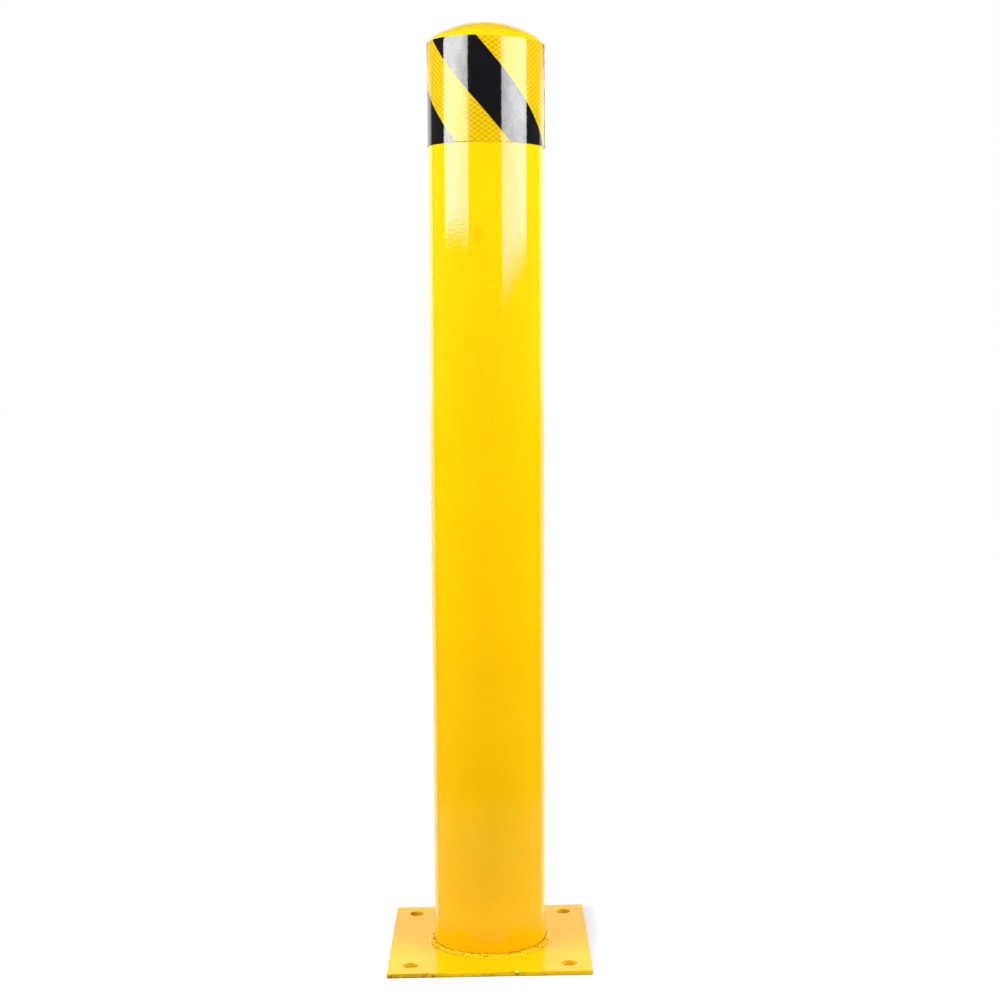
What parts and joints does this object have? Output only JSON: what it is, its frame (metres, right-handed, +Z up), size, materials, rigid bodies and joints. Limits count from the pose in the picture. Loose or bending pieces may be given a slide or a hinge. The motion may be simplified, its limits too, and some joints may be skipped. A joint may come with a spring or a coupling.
{
  "type": "safety bollard",
  "caption": "Fixed bolt-down steel bollard: round pipe post with a welded domed cap, square base plate and a band of slanted black and yellow reflective tape.",
  "frame": {"origin": "centre of the base plate's underside, on the post's axis", "axes": "+Z up along the post; the front, from which the tape's lap is at the right, is -Y; the plate's sides are parallel to X and Y"},
  "size_m": [0.2, 0.2, 0.924],
  "materials": {
    "base_plate": "gloss yellow powder coat",
    "post_tube": "gloss yellow powder coat",
    "dome_cap": "gloss yellow powder coat",
    "cap_weld": "ground flush, gloss yellow powder coat",
    "base_weld": "as-welded bead under gloss yellow powder coat",
    "reflective_tape": "glossy prismatic retroreflective sheeting, yellow",
    "hazard_stripes": "glossy black overlay film"
  },
  "bodies": {
    "root": {"base_plate": "base_plate", "post_tube": "post_tube", "dome_cap": "dome_cap", "cap_weld": "cap_weld", "base_weld": "base_weld", "reflective_tape": "reflective_tape", "hazard_stripes": "hazard_stripes"}
  },
  "joints": []
}
